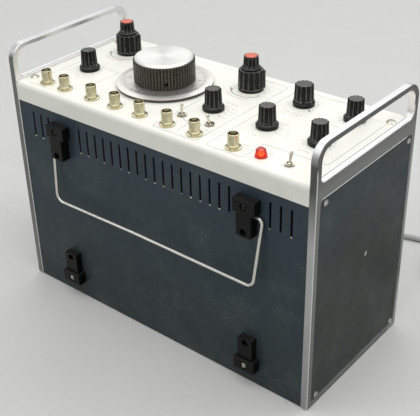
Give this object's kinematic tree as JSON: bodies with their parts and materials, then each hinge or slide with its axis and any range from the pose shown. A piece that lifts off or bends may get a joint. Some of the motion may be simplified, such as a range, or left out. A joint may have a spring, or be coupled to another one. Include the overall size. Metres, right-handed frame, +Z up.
{
  "type": "function generator",
  "caption": "Bench function generator standing on its rear end: metal case between two side frames with handle loops, panel of knobs, dial, toggles and coaxial sockets facing up, tilt bail.",
  "frame": {"origin": "on the floor under the middle of the instrument, feet included and the cord left out", "axes": "+X along the panel to the side of the power switch, +Y from the feet and tilt bail towards the top cover, +Z up, out of the control panel"},
  "size_m": [0.4515, 0.3478, 0.275],
  "materials": {
    "frame_aluminium": "satin die-cast aluminium, lightly worn at the edges",
    "cover_paint": "dark blue-grey enamel with fine speckle and scuffs",
    "panel_enamel": "ivory satin enamel with fine printed lines",
    "rear_panel_paint": "grey enamel",
    "screw_steel": "zinc plated",
    "washer_brass": "tarnished nickel-plated brass",
    "rail_aluminium": "mill finish",
    "foot_plastic": "moulded black plastic",
    "bail_steel": "nickel-plated wire",
    "control_steel": "plated steel cans",
    "dial_aluminium": "matt silver with printed divisions",
    "dial_knob_black": "black ribbed plastic",
    "dial_cap_aluminium": "spun, circular brushed",
    "shaft_steel": "turned",
    "toggle_nickel": "nickel plated",
    "lamp_collar": "nickel plated",
    "lamp_red": "translucent red jewel",
    "socket_nickel": "nickel-plated brass, slightly yellowed",
    "insulator_white": "fluoropolymer",
    "core_steel": "varnished laminations",
    "winding_tape": "yellow tape over copper",
    "board_green": "glass-epoxy board",
    "board_parts_metal": "plain",
    "fuse_black": "moulded",
    "relief_rubber": "moulded",
    "cord_grey": "pale grey PVC",
    "plug_grey": "grey moulded plug",
    "knob_black": "black fluted plastic with worn grey tops",
    "cap_red": "red cap"
  },
  "bodies": {
    "case": {"left_side_frame": "frame_aluminium", "right_side_frame": "frame_aluminium", "left_side_cover": "cover_paint", "right_side_cover": "cover_paint", "case_screws": "screw_steel", "front_panel": "panel_enamel", "front_panel_screws": "screw_steel", "cup_washers": "washer_brass", "bottom_cover": "cover_paint", "top_cover": "cover_paint", "cross_rails": "rail_aluminium", "rear_panel": "rear_panel_paint", "sub_panel": "rail_aluminium", "left_upper_foot": "foot_plastic", "right_upper_foot": "foot_plastic", "left_lower_foot": "foot_plastic", "right_lower_foot": "foot_plastic", "foot_screws": "screw_steel", "control_bodies": "control_steel", "toggle_switch_bodies": "toggle_nickel", "panel_nuts": "toggle_nickel", "pilot_lamp_holder": "lamp_collar", "pilot_lamp_lens": "lamp_red", "bnc_jacks": "socket_nickel", "bnc_insulators": "insulator_white", "transformer_core": "core_steel", "transformer_winding": "winding_tape", "main_board": "board_green", "board_parts": "board_parts_metal", "fuse_holder": "fuse_black", "cord_strain_relief": "relief_rubber", "mains_cord": "cord_grey", "cord_coil": "cord_grey", "mains_plug": "plug_grey"},
    "bail": {"tilt_bail": "bail_steel"},
    "dial": {"dial_disk": "dial_aluminium", "dial_knob": "dial_knob_black", "dial_knob_cap": "dial_cap_aluminium", "dial_screws": "screw_steel", "dial_shaft": "shaft_steel"},
    "trigger": {"trigger_knob": "knob_black"},
    "function": {"function_knob": "knob_black"},
    "attenuator": {"attenuator_knob": "knob_black"},
    "symmetry": {"symmetry_knob": "knob_black"},
    "offset": {"offset_knob": "knob_black"},
    "output": {"output_knob": "knob_black"},
    "range_coarse": {"range_coarse_knob": "knob_black", "range_coarse_shaft": "shaft_steel"},
    "range_fine": {"range_fine_knob": "knob_black", "range_fine_shaft": "shaft_steel", "range_fine_cap": "cap_red"},
    "sweep_coarse": {"sweep_coarse_knob": "knob_black", "sweep_coarse_shaft": "shaft_steel"},
    "sweep_fine": {"sweep_fine_knob": "knob_black", "sweep_fine_shaft": "shaft_steel", "sweep_fine_cap": "cap_red"},
    "left_mode_toggle": {"left_mode_toggle_lever": "toggle_nickel"},
    "right_mode_toggle": {"right_mode_toggle_lever": "toggle_nickel"},
    "power_toggle": {"power_toggle_lever": "toggle_nickel"}
  },
  "joints": [
    {"name": "bail_swing", "type": "hinge", "parent": "case", "child": "bail", "pos_m": [0, -0.07925, 0.1905], "axis": [-1, 0, 0], "range_deg": [0, 95]},
    {"name": "dial_turn", "type": "hinge", "parent": "case", "child": "dial", "pos_m": [-0.0523, 0.00845, 0.238], "axis": [0, 0, 1], "range_deg": [-150, 150]},
    {"name": "trigger_turn", "type": "hinge", "parent": "case", "child": "trigger", "pos_m": [-0.14, -0.01035, 0.238], "axis": [0, 0, 1], "range_deg": [-140, 140]},
    {"name": "function_turn", "type": "hinge", "parent": "case", "child": "function", "pos_m": [0.025, -0.01035, 0.238], "axis": [0, 0, 1], "range_deg": [-60, 60]},
    {"name": "attenuator_turn", "type": "hinge", "parent": "case", "child": "attenuator", "pos_m": [0.087, -0.01035, 0.238], "axis": [0, 0, 1], "range_deg": [-75, 75]},
    {"name": "symmetry_turn", "type": "hinge", "parent": "case", "child": "symmetry", "pos_m": [0.087, 0.04835, 0.238], "axis": [0, 0, 1], "range_deg": [-140, 140]},
    {"name": "offset_turn", "type": "hinge", "parent": "case", "child": "offset", "pos_m": [0.1427, -0.01035, 0.238], "axis": [0, 0, 1], "range_deg": [-140, 140]},
    {"name": "output_turn", "type": "hinge", "parent": "case", "child": "output", "pos_m": [0.1427, 0.04835, 0.238], "axis": [0, 0, 1], "range_deg": [-140, 140]},
    {"name": "range_coarse_turn", "type": "hinge", "parent": "case", "child": "range_coarse", "pos_m": [-0.14, 0.04835, 0.238], "axis": [0, 0, 1], "range_deg": [-105, 105]},
    {"name": "range_fine_turn", "type": "hinge", "parent": "case", "child": "range_fine", "pos_m": [-0.14, 0.04835, 0.238], "axis": [0, 0, 1], "range_deg": [-135, 135]},
    {"name": "sweep_coarse_turn", "type": "hinge", "parent": "case", "child": "sweep_coarse", "pos_m": [0.025, 0.04835, 0.238], "axis": [0, 0, 1], "range_deg": [-140, 140]},
    {"name": "sweep_fine_turn", "type": "hinge", "parent": "case", "child": "sweep_fine", "pos_m": [0.025, 0.04835, 0.238], "axis": [0, 0, 1], "range_deg": [-140, 140]},
    {"name": "left_mode_toggle_throw", "type": "hinge", "parent": "case", "child": "left_mode_toggle", "pos_m": [0.01, -0.03825, 0.2386], "axis": [1, 0, 0], "range_deg": [-17, 17]},
    {"name": "right_mode_toggle_throw", "type": "hinge", "parent": "case", "child": "right_mode_toggle", "pos_m": [0.0433, -0.03855, 0.2386], "axis": [1, 0, 0], "range_deg": [-34, 0]},
    {"name": "power_toggle_throw", "type": "hinge", "parent": "case", "child": "power_toggle", "pos_m": [0.1442, -0.05775, 0.2386], "axis": [1, 0, 0], "range_deg": [0, 34]}
  ]
}
